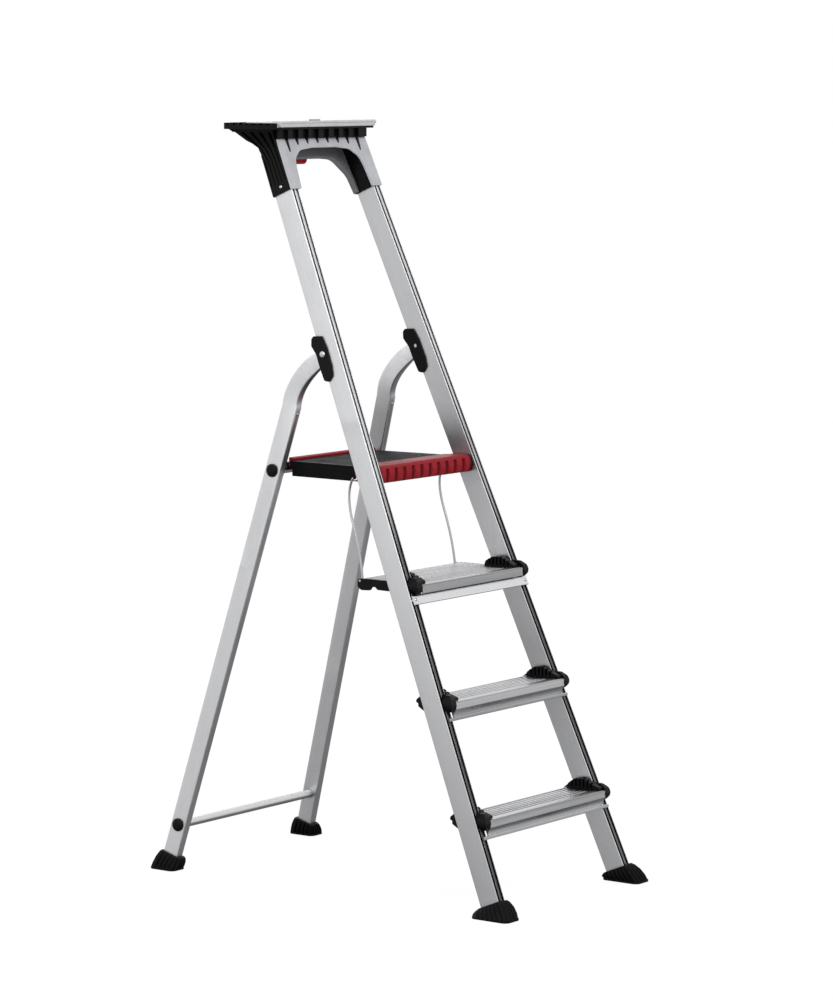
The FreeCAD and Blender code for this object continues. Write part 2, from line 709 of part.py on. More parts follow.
def leg_tab(body, sign):
    """Round end of the tab with its pin hole."""
    sketch = sketch_on(body, "YZ_Plane", sign * TAB_X)
    along = Vector(-0.80, 0.60, 0)
    out = Vector(0.60, 0.80, 0) * TAB_RADIUS
    start = Vector(TAB_START[0], TAB_START[1], 0) - along * 0.5
    centre = Vector(dim.hingeY, dim.hingeZ, 0)
    for piece in (
            Part.LineSegment(start + out, centre + out),
            Part.Arc(centre + out, centre + along * TAB_RADIUS, centre - out),
            Part.LineSegment(centre - out, start - out),
            Part.LineSegment(start - out, start + out)):
        sketch.addGeometry(piece, False)
    pad(body, sketch, dim.tabThick, "Sizes.tabThick", middle=True)
    sketch = sketch_on(body, "YZ_Plane", sign * TAB_X)
    loose_circle(sketch, dim.hingeY, dim.hingeZ, "hingePin")
    pocket(body, sketch, 30, middle=True)


def rear_leg(side, sign):
    place = leg_place(sign)
    width, depth, wall = dim.legWidth, dim.legDepth, dim.legWall
    body = new_body("rear_leg_" + side)
    # straight lower tube
    sketch = sketch_at(body, shifted(place, 0, 0, LEG_START))
    centred_rect(sketch, width, depth, 2.5)
    centred_rect(sketch, width - 2 * wall, depth - 2 * wall, 1)
    pad(body, sketch, LEG_TOP - LEG_START)
    leg_head(body, sign, place)
    leg_tab(body, sign)
    # holes for the two cross tubes
    sketch = sketch_on(body, "YZ_Plane")
    sized_circle(sketch, dim.restY, dim.restZ, "tubeRadius")
    sized_circle(sketch, dim.crossY, dim.crossZ, "tubeRadius")
    pocket(body, sketch, 600, middle=True)
    # hole of the rivet in the front wall
    rivet_place = shifted(place, 0, -depth / 2, RIVET_REACH)
    sketch = sketch_at(body, facing_front(rivet_place))
    circle(sketch, 0, 0, 1.6)
    pocket(body, sketch, 3.0)
    rivet = new_body("leg_rivet_" + side, rivet_place)
    revolve(rivet, [(0, -1.5), (1.6, -1.3, 0.5), (3.0, -0.4, 0.4), (3.0, 0), (1.6, 0),
                    (1.6, 3.2), (0, 3.2)], "Y_Axis")


for side, sign in SIDES:
    rear_leg(side, sign)


# ------------------------------------------------ tubes across the rear legs
def leg_tube(name, y, z):
    body = new_body(name + "_tube", moved(0, y, z))
    bind_yz(body, name)
    sketch = sketch_on(body, "YZ_Plane")
    sized_circle(sketch, 0, 0, "tubeRadius")
    tube_bore(sketch)
    pad(body, sketch, 2 * (leg_half(z) - 0.6), middle=True)
    return body


def add_beads(body, z):
    """Rolled beads against the inner faces of the legs."""
    for _, sign in SIDES:
        sketch = sketch_on(body, "YZ_Plane", sign * (leg_half(z) - dim.legWidth - 1.2))
        circle(sketch, 0, 0, 13.5)
        tube_bore(sketch)
        pad(body, sketch, 4.5, reverse=sign > 0)


def tube_cap(name, side, sign, y, z):
    """Domed plug in the end of a tube."""
    body = new_body("%s_cap_%s" % (name, side), moved(sign * (leg_half(z) + 1.4), y, z))
    radius = dim.capRadius
    revolve(body, [(0, 0), (0, radius), (sign * 1.6, radius, 0.8),
                   (sign * 4.6, radius - 4.2, 2.5), (sign * 5.4, 0)], "X_Axis")
    sketch = sketch_on(body, "YZ_Plane")
    tube_bore(sketch)
    pad(body, sketch, 14, reverse=sign > 0)


for name, y, z in (("rest", dim.restY, dim.restZ), ("cross", dim.crossY, dim.crossZ)):
    tube = leg_tube(name, y, z)
    if name == "rest":
        add_beads(tube, z)
    for side, sign in SIDES:
        tube_cap(name, side, sign, y, z)


# ---------------------------------------------------------- hinges and pins
def hinge_bracket(side, sign):
    """Sleeve round the stile with a slot for the leg tab in its rear."""
    place = stile_place(sign)
    hinge = hinge_local(place, sign)
    width = dim.stileWidth
    body = new_body("hinge_bracket_" + side, shifted(place, 0, 0, hinge.z))
    sketch = sketch_on(body, "YZ_Plane")
    outline(sketch, [
        (49, 42, 4), (29, 35, 4), (25, 10, 12), (25.5, -30, 14), (30, -50, 8), (43, -58.5, 5),
        (53.5, -52, 4), (55.5, -20, 10), (55, 5, 8), (61, 25, 6), (56, 38, 4)])
    pad(body, sketch, width + 6.4, middle=True)
    # seat of the stile
    sketch = sketch_on(body, "XY_Plane", -80)
    rect(sketch, -width / 2, -5, width / 2, dim.stileDepth)
    pocket(body, sketch, 170, reverse=True)
    # slot of the leg tab
    sketch = sketch_on(body, "XZ_Plane", -70.0)
    outline(sketch, mirrored([(hinge.x - 5.6, 26, 2), (hinge.x - 5.6, -6),
                              (hinge.x - 12.6, -64)], hinge.x))
    pocket(body, sketch, 25, reverse=True)
    drill(body, "hinge", 700)


def hinge_pin(side, sign):
    """Pin with a domed head on the outside."""
    body = new_body("hinge_pin_" + side, moved(0, dim.hingeY, dim.hingeZ))
    radius = dim.hingePin
    start = TAB_X - dim.stileWidth / 2 - 3.0
    head = stile_half(dim.hingeZ) + 3.4
    revolve(body, [
        (sign * start, 0), (sign * start, radius, 0.5), (sign * head, radius),
        (sign * head, radius + 2.8), (sign * (head + 1.6), radius + 1.4, 1.2),
        (sign * (head + 2.2), 0)], "X_Axis")


def plain_pin(label, name, sign, start, end):
    """Round pin along X at the named place, from start outwards to end."""
    body = new_body(label, moved(sign * start, getattr(dim, name + "Y"),
                                 getattr(dim, name + "Z")))
    bind_yz(body, name)
    sketch = sketch_on(body, "YZ_Plane")
    sized_circle(sketch, 0, 0, name + "Pin")
    pad(body, sketch, end - start, reverse=sign < 0)


for side, sign in SIDES:
    hinge_bracket(side, sign)
    hinge_pin(side, sign)
    plain_pin("platform_pin_" + side, "lift", sign, start=148.0,
              end=stile_half(dim.liftZ) - dim.stileWidth + 6.0)
    plain_pin("tilt_pin_" + side, "tilt", sign, start=DEEP_HALF - CAP_THICK, end=TILT_PIN_END)

# ---------------------------------------------------------------- platform
DECK_START = -7.0        # Y where the deck meets the nose
DECK_FRONT_HALF = 151.0
DECK_REAR_HALF = 143.5
DECK_HEIGHT = dim.deckTop - dim.deckFoot
REAR_LIP = 2.4           # thickness of the rear edge and of the hooks' upper ends
REAR_LIP_FOOT = dim.deckTop - 12
# Y, Z, corner radius of the window for the bent end of a stay
STAY_WINDOW = [(dim.stayTopY + y, dim.stayTopZ + z, 3.9)
               for y, z in ((-7.4, -4), (7.4, -4), (7.4, 4), (-7.4, 4))]


def deck_half(y):
    """Half width of the tapered deck."""
    return DECK_FRONT_HALF + (DECK_REAR_HALF - DECK_FRONT_HALF) * (y - DECK_START) / (
        dim.deckRear - DECK_START)


def platform_deck():
    """Tapered deck between the stiles, hollow underneath with webs."""
    body = new_body("platform_deck")
    front, rear, foot_z = DECK_START, dim.deckRear, dim.deckFoot
    front_half, rear_half = DECK_FRONT_HALF, DECK_REAR_HALF
    sketch = sketch_on(body, "XY_Plane", foot_z, bound="Sizes.deckFoot")
    outline(sketch, mirrored([(-rear_half, rear, 6), (-front_half, front)]))
    pad(body, sketch, DECK_HEIGHT, "Sizes.deckTop - Sizes.deckFoot")
    # bays between the webs: four rows of three
    sketch = sketch_on(body, "XY_Plane", foot_z, bound="Sizes.deckFoot")
    for y0, y1 in ((front + 4, 36), (39, 78), (81, 120), (123, 158)):
        half0, half1 = deck_half(y0) - 4.0, deck_half(y1) - 4.0
        for left, right in ((-1, -0.34), (-0.32, 0.32), (0.34, 1)):
            outline(sketch, [(left * half0, y0), (right * half0, y0),
                             (right * half1, y1), (left * half1, y1)])
    pocket(body, sketch, DECK_HEIGHT - 5.0, reverse=True)
    # the skirt under the deck plate is set in at both sides and at the rear
    sketch = sketch_on(body, "XY_Plane", foot_z - 1)
    for _, sign in SIDES:
        outline(sketch, [
            (sign * (front_half - 1.8), front - 1), (sign * (front_half + 4), front - 1),
            (sign * (rear_half + 4), rear + 4), (sign * (rear_half - 1.8), rear + 4)])
    pocket(body, sketch, DECK_HEIGHT - 8.0, reverse=True)
    sketch = sketch_on(body, "XY_Plane", foot_z - 1)
    rect(sketch, -front_half - 2, 162, front_half + 2, rear + 4)
    pocket(body, sketch, DECK_HEIGHT - 8.0, reverse=True)
    # slip grooves across the deck
    sketch = sketch_on(body, "XY_Plane", dim.deckTop, bound="Sizes.deckTop")
    y = 4.0
    while y < rear - 14:
        half = deck_half(y) - 9
        rect(sketch, -half, y, half, y + 4.2)
        y += 9.0
    pocket(body, sketch, 1.6)
    sketch = sketch_on(body, "YZ_Plane")
    outline(sketch, STAY_WINDOW)
    pocket(body, sketch, 400, middle=True)


def platform_nose():
    """Rounded front of the platform, with the holes of the platform pins."""
    body = new_body("platform_nose")
    front, top, foot_z = dim.deckFront, dim.deckTop, dim.deckFoot
    curve = [(-30, foot_z, 6), (front + 22, foot_z - 3.0, 6), (front + 3, foot_z - 0.5, 9),
             (front, 848, 14), (front + 3.5, top + 3.6, 10), (front + 24, top + 3.4, 8)]
    sketch = sketch_on(body, "YZ_Plane")
    outline(sketch, curve + [(DECK_START, top + 1.2, 1.5), (DECK_START, foot_z)])
    pad(body, sketch, 2 * DECK_FRONT_HALF, middle=True)
    # wider front portion
    sketch = sketch_on(body, "YZ_Plane")
    outline(sketch, curve + [(-22, top + 2.2, 1), (-22, foot_z, 1)])
    pad(body, sketch, 2 * 157.0, middle=True)
    # finger grooves down the front
    groove_foot, groove_top = foot_z - 4, 860.0
    sketch = sketch_on(body, "XY_Plane", groove_foot)
    for k in range(10):
        x = -130.5 + 29 * k
        outline(sketch, mirrored([(x - 8.0, front - 2), (x - 3.0, front + 6.0, 2)], x))
    pocket(body, sketch, groove_top - groove_foot, reverse=True)
    # hollow underside
    sketch = sketch_on(body, "XY_Plane", foot_z - 4)
    rect(sketch, -144, front + 10, 144, DECK_START - 4, 2)
    pocket(body, sketch, 26, reverse=True)
    sketch = sketch_on(body, "YZ_Plane")
    loose_circle(sketch, dim.liftY, dim.liftZ, "liftPin")
    outline(sketch, STAY_WINDOW)
    pocket(body, sketch, 400, middle=True)


def platform_rear_edge():
    body = new_body("platform_rear_edge")
    rear, top = dim.deckRear, dim.deckTop
    sketch = sketch_on(body, "YZ_Plane")
    outline(sketch, [
        (rear - 9, top), (rear - 9, top + 5, 3), (rear + REAR_LIP, top + 7.5, 2.5),
        (rear + REAR_LIP, REAR_LIP_FOOT, 1), (rear, REAR_LIP_FOOT), (rear, top)])
    pad(body, sketch, 2 * (DECK_REAR_HALF - 4), middle=True)


def rest_hook(side, sign):
    """Open hook behind the deck that rests on the upper tube of the rear frame."""
    body = new_body("rest_hook_" + side, moved(sign * 118.0, 0, 0))
    inner, outer = dim.tubeRadius + 0.4, 14.0
    rear = dim.deckRear

    def around(radius, degrees):
        angle = math.radians(degrees)
        return Vector(dim.restY + radius * math.cos(angle), dim.restZ + radius * math.sin(angle), 0)

    def chain(points):
        for start, end in zip(points, points[1:]):
            sketch.addGeometry(Part.LineSegment(start, end), False)

    sketch = sketch_on(body, "YZ_Plane")
    sketch.addGeometry(Part.Arc(*[around(inner, a) for a in (-25, 65, 155)]), False)
    chain([around(inner, 155), Vector(rear, 846, 0), Vector(rear, REAR_LIP_FOOT, 0),
           Vector(rear + REAR_LIP, REAR_LIP_FOOT, 0), Vector(rear + REAR_LIP, 858.2, 0),
           around(outer, 105)])
    sketch.addGeometry(Part.Arc(*[around(outer, a) for a in (105, 40, -25)]), False)
    chain([around(outer, -25), around(inner, -25)])
    pad(body, sketch, 30, middle=True)


platform_deck()
platform_nose()
platform_rear_edge()
for side, sign in SIDES:
    rest_hook(side, sign)

# ------------------------------------------------------------------- stays
# X, Y, Z of the gently curved shank between its two ends
STAY_ROUTE = (
    (158.4, -27.5, 660), (157.6, -18, 704), (156.8, -8, 738),
    (155.9, 1, 768), (155.0, 5.5, 796), (154.4, 4.5, 818),
)


def stay_rod_right():
    """Bent round rod: a pin through the lug of the deep tread, a shank and a pin turned
    into the window in the platform's side."""
    low = Vector(159.0, dim.stayLowY, dim.stayLowZ)
    high = Vector(154.2, dim.stayTopY, dim.stayTopZ)
    curve = Part.BSplineCurve()
    curve.interpolate([low] + [Vector(*point) for point in STAY_ROUTE] + [high])
    route = doc.addObject("Part::Feature", "StayRoute_right")
    route.Shape = curve.toShape()
    profile = doc.addObject("Part::Circle", "StayRound_right")
    profile.setExpression("Radius", "Sizes.stayRadius")
    start_direction = curve.tangent(curve.FirstParameter)[0]
    profile.Placement = Placement(low, Rotation(Vector(0, 0, 1), start_direction))
    doc.recompute()
    shank = doc.addObject("Part::Sweep", "StayShank_right")
    shank.Sections = [profile]
    shank.Spine = (route, ["Edge1"])
    shank.Solid = True
    pieces = [shank]
    for corner, pin_end in ((low, 169.0), (high, 146.5)):
        elbow = doc.addObject("Part::Sphere", "StayElbow")
        elbow.setExpression("Radius", "Sizes.stayRadius")
        elbow.Placement = Placement(corner, Rotation(Vector(0, 1, 0), 90))
        pin = doc.addObject("Part::Cylinder", "StayPin")
        pin.setExpression("Radius", "Sizes.stayRadius")
        run = pin_end - corner.x
        pin.Height = abs(run)
        pin.Placement = Placement(corner, Rotation(Vector(0, 0, 1), Vector(run, 0, 0)))
        pieces += [elbow, pin]
    rod = doc.addObject("Part::MultiFuse", "StayRod_right")
    rod.Shapes = pieces
    rod.Label = "stay_rod_right"
    doc.recompute()
    PARTS.append(rod)
    return rod


def stay_rod_left(source):
    """The right rod mirrored about the middle plane."""
    rod = doc.addObject("Part::Mirroring", "StayRod_left")
    rod.Source = source
    rod.Base = Vector(0, 0, 0)
    rod.Normal = Vector(1, 0, 0)
    rod.Label = "stay_rod_left"
    doc.recompute()
    PARTS.append(rod)


stay_rod_left(stay_rod_right())

# ------------------------------------------------------------ tray sockets
FASCIA_Z = 1418.0  # height of the lower end of the fascia and the sockets
FASCIA_PLACE = frame_of(Vector(0, front_y(FASCIA_Z), FASCIA_Z), Vector(0, STILE_SLOPE, 1))
SOCKET_START = local(stile_place(1), 140.0, front_y(FASCIA_Z), FASCIA_Z).z
SOCKET_WALL = 3.4
# z, inner x, outer x, rear y of the socket as it flares out into the tray
SOCKET_STATIONS = (
    (1448, 121.2, 149.6, 222.5), (1478, 119.6, 148.2, 235.0), (1499, 117.5, 148.2, 244.0),
    (1508, 116.0, 149.5, 259.0), (1517, 114.0, 152.0, 281.0), (1526, 110.0, 155.5, 296.0),
    (1537, 104.0, 159.5, 312.0),
)
# z, z step per flute, y, y step per flute, width, corner radius
FLUTE_STATIONS = (
    (1436.0, -4.0, 170.5, 8.7, 3.6, 1.4), (1470.0, 0, 186.0, 9.6, 4.4, 24),
    (1492.0, 0, 196.0, 11.4, 5.2, 24), (1510.0, 0, 203.0, 16.5, 6.6, 24),
    (1531.0, 0, 207.0, 23.5, 9.0, 0),
)


def cut_socket_flutes(body, sign, place):
    """Flutes that sweep down the outer side from the wing to the foot of the socket."""
    offset = Placement(Vector(sign * (dim.stileWidth / 2 + 1.3), 0, 0), ACROSS)
    sketch = sketch_at(body, place.multiply(offset))

    def edge(flute, side):
        points = []
        for z, z_step, y, y_step, width, radius in FLUTE_STATIONS:
            point = local(place, sign * 150, y + y_step * flute + side * width / 2,
                          z + z_step * flute)
            points.append((point.y, point.z, radius))
        return points

    for flute in range(5):
        outline(sketch, edge(flute, -1) + edge(flute, 1)[::-1])
    pocket(body, sketch, 40, reverse=sign > 0)


def tray_socket(side, sign):
    """Socket round the head of the stile, flaring out into the tray."""
    place = stile_place(sign)
    half, depth = dim.stileWidth / 2, dim.stileDepth
    body = new_body("tray_socket_" + side)
    sketch = sketch_at(body, shifted(place, 0, 0, SOCKET_START))
    rect(sketch, -half - SOCKET_WALL, 0, half + SOCKET_WALL, depth + 3.6, 1.5)
    pad(body, sketch, 62.0)
    sections = []
    for z, x_in, x_out, rear in SOCKET_STATIONS:
        sketch = sketch_on(body, "XY_Plane", z)
        x0, x1 = sorted((sign * x_in, sign * x_out))
        front = front_y(min(z, 1521.0)) + 0.2
        outline(sketch, [(x0, front, 1.5), (x1, front, 1.5), (x1, rear, 3), (x0, rear, 3)])
        sections.append(sketch)
    loft(body, sections)
    cut_socket_flutes(body, sign, place)
    # seat of the stile
    seat = SOCKET_START - 2
    sketch = sketch_at(body, shifted(place, 0, 0, seat))
    rect(sketch, -half, -4, half, depth)
    pocket(body, sketch, dim.stileStart + dim.stileLength - seat, reverse=True)


def socket_rivet(side, sign):
    """Rivet that fixes the socket to its stile."""
    place = stile_place(sign)
    spot = local(place, sign * 150, 182.0, 1421.0)
    body = new_body("socket_rivet_" + side,
                    shifted(place, sign * (dim.stileWidth / 2 + SOCKET_WALL), spot.y, spot.z))
    revolve(body, [(0, 0), (0, 3.6), (sign * 1.2, 2.8, 0.8), (sign * 1.7, 0)], "X_Axis")


for side, sign in SIDES:
    tray_socket(side, sign)
    socket_rivet(side, sign)

# -------------------------------------------------------------------- tray
PLATE_FOOT, PLATE_TOP = 1537.0, 1550.0
HOOK_Y, HOOK_Z = 252.0, 1515.0  # pivot of the bucket hook
HOOK_PIN = 2.5
# x of each slot of the fascia, height of its foot above the fascia's frame
SLOTS = ((-118, 78), (-84.5, 92.5), (-51, 95), (-17, 96),
         (17, 96), (51, 95), (84.5, 92.5), (118, 78))


def tray_plate(body):
    """Plate with a tool basin, dividers, rim notches and tool holes."""
    half, front, rear = dim.trayHalf, dim.trayFront, dim.trayRear
    sketch = sketch_on(body, "XY_Plane", PLATE_FOOT)
    outline(sketch, [
        (-half + 3, front + 4.4, 3), (half - 3, front + 4.4, 3), (half - 3, rear - 22, 16),
        (half - 30, rear - 4, 18), (0, rear + 2, 120), (-half + 30, rear - 4, 18),
        (-half + 3, rear - 22, 16)])
    pad(body, sketch, PLATE_TOP - PLATE_FOOT)
    # tool basin behind the top panel
    sketch = sketch_on(body, "XY_Plane", PLATE_TOP)
    outline(sketch, [
        (-half + 12, 268, 5), (half - 12, 268, 5), (half - 12, rear - 30, 10),
        (half - 36, rear - 13, 12), (0, rear - 8, 100), (-half + 36, rear - 13, 12),
        (-half + 12, rear - 30, 10)])
    pocket(body, sketch, 9.0)
    # dividers
    sketch = sketch_on(body, "XY_Plane", 1540.0)
    for x in (-70, 70):
        rect(sketch, x - 2, 267, x + 2, rear - 9)
    pad(body, sketch, 8.0)
    # row of notches along both side rims
    sketch = sketch_on(body, "XY_Plane", PLATE_TOP)
    for k in range(7):
        y = 204 + 17.5 * k
        for _, sign in SIDES:
            x0, x1 = sorted((sign * (half - 10.0), sign * (half + 2.0)))
            rect(sketch, x0, y, x1, y + 8)
    pocket(body, sketch, 4.2)
    # tool holes, the outer two smaller
    sketch = sketch_on(body, "XY_Plane", PLATE_TOP)
    for x, radius in ((-48, 7.0), (-24, 9.0), (0, 9.0), (24, 9.0), (48, 7.0)):
        circle(sketch, x, 322, radius)
    pocket(body, sketch, 30)


def tray_front_wall(body):
    """Wall below the plate, with a plate and ribs behind the slots of the fascia."""
    foot_z, height = 1519.0, 18.5
    for x, y0, y1 in ((148, 190, 196.8), (111.5, 192, 203)):
        sketch = sketch_on(body, "XY_Plane", foot_z)
        rect(sketch, -x, y0, x, y1)
        pad(body, sketch, height)
    sketch = sketch_at(body, facing_front(FASCIA_PLACE, 2.8))
    outline(sketch, mirrored([(-111.5, 113), (-111.5, 74, 2), (-84, 87, 20), (-40, 91.5, 60)]))
    pad(body, sketch, 2.3)
    # ribs: broad on the wall, then tapering down into the slots
    sketch = sketch_on(body, "XY_Plane", 1519.5)
    for x, _ in SLOTS:
        rect(sketch, x - 6.2, 183.5, x + 6.2, 191)
    pad(body, sketch, height)
    sketch = sketch_at(body, facing_front(FASCIA_PLACE, -0.8))
    for x, slot_foot in SLOTS:
        outline(sketch, mirrored([(x - 5.0, 110), (x - 1.5, slot_foot + 2.2, 1)], x))
    pad(body, sketch, 3.6)


def tray_underside(body):
    """Lower step towards the rear and the lugs of the bucket hook."""
    rear = dim.trayRear
    sketch = sketch_on(body, "XY_Plane", 1529.0)
    outline(sketch, [(-103, 240, 4), (103, 240, 4), (103, rear - 34, 10), (-103, rear - 34, 10)])
    pad(body, sketch, 9.0)
    for _, sign in SIDES:
        sketch = sketch_on(body, "YZ_Plane", sign * 22.0)
        outline(sketch, mirrored([(HOOK_Y - 5.5, HOOK_Z - 6, 5), (HOOK_Y - 10, 1530)], HOOK_Y))
        pad(body, sketch, 5.0, middle=True)
    sketch = sketch_on(body, "YZ_Plane")
    circle(sketch, HOOK_Y, HOOK_Z, HOOK_PIN)
    pocket(body, sketch, 60, middle=True)


def tray_body():
    body = new_body("tray_body")
    tray_plate(body)
    tray_front_wall(body)
    tray_underside(body)


def tray_top_panel():
    """Top panel with a deep front lip."""
    body = new_body("tray_top_panel")
    top, half, front = dim.trayTop, dim.trayHalf, dim.trayFront
    sketch = sketch_on(body, "YZ_Plane")
    outline(sketch, [
        (front, top - 12.5, 1.5), (front, top - 3, 3), (front + 3, top, 3), (front + 14, top, 2),
        (front + 19, top - 1.6, 1), (262, top - 1.6, 1), (262, top - 4), (front + 4.4, top - 4),
        (front + 4.4, top - 12.5)])
    pad(body, sketch, 2 * half, middle=True)

    def lip_end(edge):
        """Upright edge at either end of the lip's front face."""
        box = edge.BoundBox
        return (box.XLength < 0.01 and box.ZLength > 5 and box.YLength < 0.01
                and box.YMin < front + 1)

    fillet(body, lip_end, 1.5)
    # three shallow recesses
    sketch = sketch_on(body, "XY_Plane", top)
    for k in range(3):
        rect(sketch, -120 + 84 * k, 204, -48 + 84 * k, 252, 4)
    pocket(body, sketch, 2.6)
    # the lip is cut back at its lower corners
    sketch = sketch_on(body, "XZ_Plane", -(front - 1))
    for _, sign in SIDES:
        outline(sketch, [
            (sign * (half + 1), top - 14), (sign * (half - 9), top - 14),
            (sign * (half - 9), top - 12.5), (sign * (half + 1), top - 4.5)])
    pocket(body, sketch, 5.2)
    # shallow line along the lip
    sketch = sketch_on(body, "XZ_Plane", -(front - 1))
    rect(sketch, -half + 12, top - 5.2, half - 12, top - 4.2)
    pocket(body, sketch, 1.7)
    # small raised block left of the middle
    sketch = sketch_on(body, "XY_Plane", top - 0.5)
    rect(sketch, -48, front + 6, -18, front + 15, 3)
    pad(body, sketch, 3.4)


def tray_fascia():
    """Front plate: arch below, open slots along its top edge."""
    body = new_body("tray_fascia", FASCIA_PLACE)
    sketch = sketch_on(body, "XZ_Plane")
    outline(sketch, mirrored([
        (-147.5, 107, 1.5), (-152, -1, 2), (-119.5, -1, 2), (-113.5, 42, 30),
        (-108, 64, 24), (-84, 82, 30), (-40, 87, 120)]))
    pad(body, sketch, 3.5)
    sketch = sketch_on(body, "XZ_Plane", 5.0)
    for x, slot_foot in SLOTS:
        outline(sketch, mirrored([(x - 5.3, 109), (x - 1.8, slot_foot, 1.4)], x))
    pocket(body, sketch, 9.0)


def tray_handle():
    """Arched carrying handle between the sockets."""
    body = new_body("tray_handle", FASCIA_PLACE)
    lean_y = 0.385  # Y per mm along the slope

    def reach(height):
        """Half width that clears the sockets at this height up the slope."""
        return inner_x(front_y(FASCIA_Z) + 44 * STILE_COS + height * lean_y,
                       FASCIA_Z - 44 * lean_y + height * STILE_COS) - 3.6

    sketch = sketch_on(body, "XZ_Plane", -(dim.stileDepth + 3.0))
    outline(sketch, mirrored([
        (4.5 - reach(104), 104), (2.2 - reach(40), 40), (-reach(28), 28), (-reach(0), 0, 3),
        (-118, 0, 2), (-111, 40, 34), (-76, 78, 34), (-40, 81, 60)]))
    pad(body, sketch, 12.0)
    # recess in its front side
    sketch = sketch_on(body, "XZ_Plane", -(dim.stileDepth + 4.0))
    outline(sketch, mirrored([(-96, 98, 4), (-100, 68, 8), (-70, 88, 8)]))
    pocket(body, sketch, 6.0, reverse=True)


def bucket_hook():
    """Hook below the tray and the pin it hangs from."""
    y, z = HOOK_Y, HOOK_Z
    body = new_body("bucket_hook")
    sketch = sketch_on(body, "YZ_Plane")
    outline(sketch, [
        (y - 5, z + 5, 4.5), (y + 5, z + 5, 4.5), (y + 5, z - 6, 3), (y + 2, z - 18, 6),
        (y + 2, z - 40, 6), (y + 13, z - 42, 6), (y + 15, z - 32, 2), (y + 20, z - 32, 2),
        (y + 18, z - 52, 9), (y - 5, z - 52, 10), (y - 4, z - 18, 6), (y - 5, z - 6, 3)])
    circle(sketch, y, z, HOOK_PIN + 0.06)
    pad(body, sketch, 38.0, middle=True)
    # window through the shank
    sketch = sketch_on(body, "XZ_Plane", -(y - 20))
    rect(sketch, -9, z - 36, 9, z - 12, 5)
    pocket(body, sketch, 60)
    pin = new_body("hook_pin", moved(0, y, z))
    sketch = sketch_on(pin, "YZ_Plane")
    circle(sketch, 0, 0, HOOK_PIN)
    pad(pin, sketch, 50.0, middle=True)


tray_body()
tray_top_panel()
tray_fascia()
tray_handle()
bucket_hook()

# -------------------------------------------------------- check and export
doc.recompute()
for item in doc.Objects:
    if "Invalid" in item.State or "Error" in item.State:
        raise RuntimeError("object failed: %s %s" % (item.Name, item.State))
for part in PARTS:
    shape = part.Shape
    if shape.isNull() or not shape.isValid() or shape.Volume <= 0:
        raise RuntimeError("bad shape: " + part.Label)
    if len(shape.Solids) != 1:
        raise RuntimeError("not one solid: %s %d" % (part.Label, len(shape.Solids)))
    shape.exportStep("parts/%s.step" % part.Label)
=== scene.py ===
# A stepladder with three treads, a platform and a tray above it, standing on a pale floor.
# Metres, +Z up. The front faces -Y: the stiles rise from the front feet and lean back
# towards +Y, the rear legs lean forward. Right is +X. The frame's own pieces are kept as
# they are, given procedural materials and smoothed; then come floor, world, lights and camera.
import bpy
import bmesh
import math
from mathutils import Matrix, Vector

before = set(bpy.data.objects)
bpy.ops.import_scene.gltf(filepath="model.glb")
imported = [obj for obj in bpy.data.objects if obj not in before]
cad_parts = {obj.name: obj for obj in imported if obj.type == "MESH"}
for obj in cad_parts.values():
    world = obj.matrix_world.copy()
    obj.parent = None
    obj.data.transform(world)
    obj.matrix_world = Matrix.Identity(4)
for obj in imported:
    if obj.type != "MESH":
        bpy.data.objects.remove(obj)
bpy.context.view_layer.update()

# ---------------------------------------------------------------- driving dimensions
STILE_LEAN = math.radians(22.63)    # stiles lean back
LEG_LEAN = math.radians(15.8)       # rear legs lean forward

STILE_FRONT_Y = -0.435              # front plane of the stiles at z = 0
STILE_MIDDLE_X = 0.22406            # middle line of a stile at z = 0
STILE_TAPER = 0.0611                # how far that line moves inwards per metre of height
CHANNEL_HALF_WIDTH = 0.0100
LAND_DEPTH = (-0.0030, 0.0009)      # depths behind the front plane: the land ...
CHANNEL_DEPTH = (0.0009, 0.0075)    # ... and the channels beside it
PLATFORM_FADE = (0.70, 0.86)        # heights over which the painted shade and the darker land of the stiles weaken

TREAD_TOP = 0.1889                  # top of the lowest tread
TREAD_PITCH = 0.225
TREAD_COUNT = 3

NOSE_PITCH = 0.029                  # finger grooves of the platform's nose
NOSE_ORIGIN = NOSE_PITCH / 2 * 21   # the groove count starts this far to the left

SMOOTH_LIMIT = math.radians(31)     # edges sharper than this stay hard


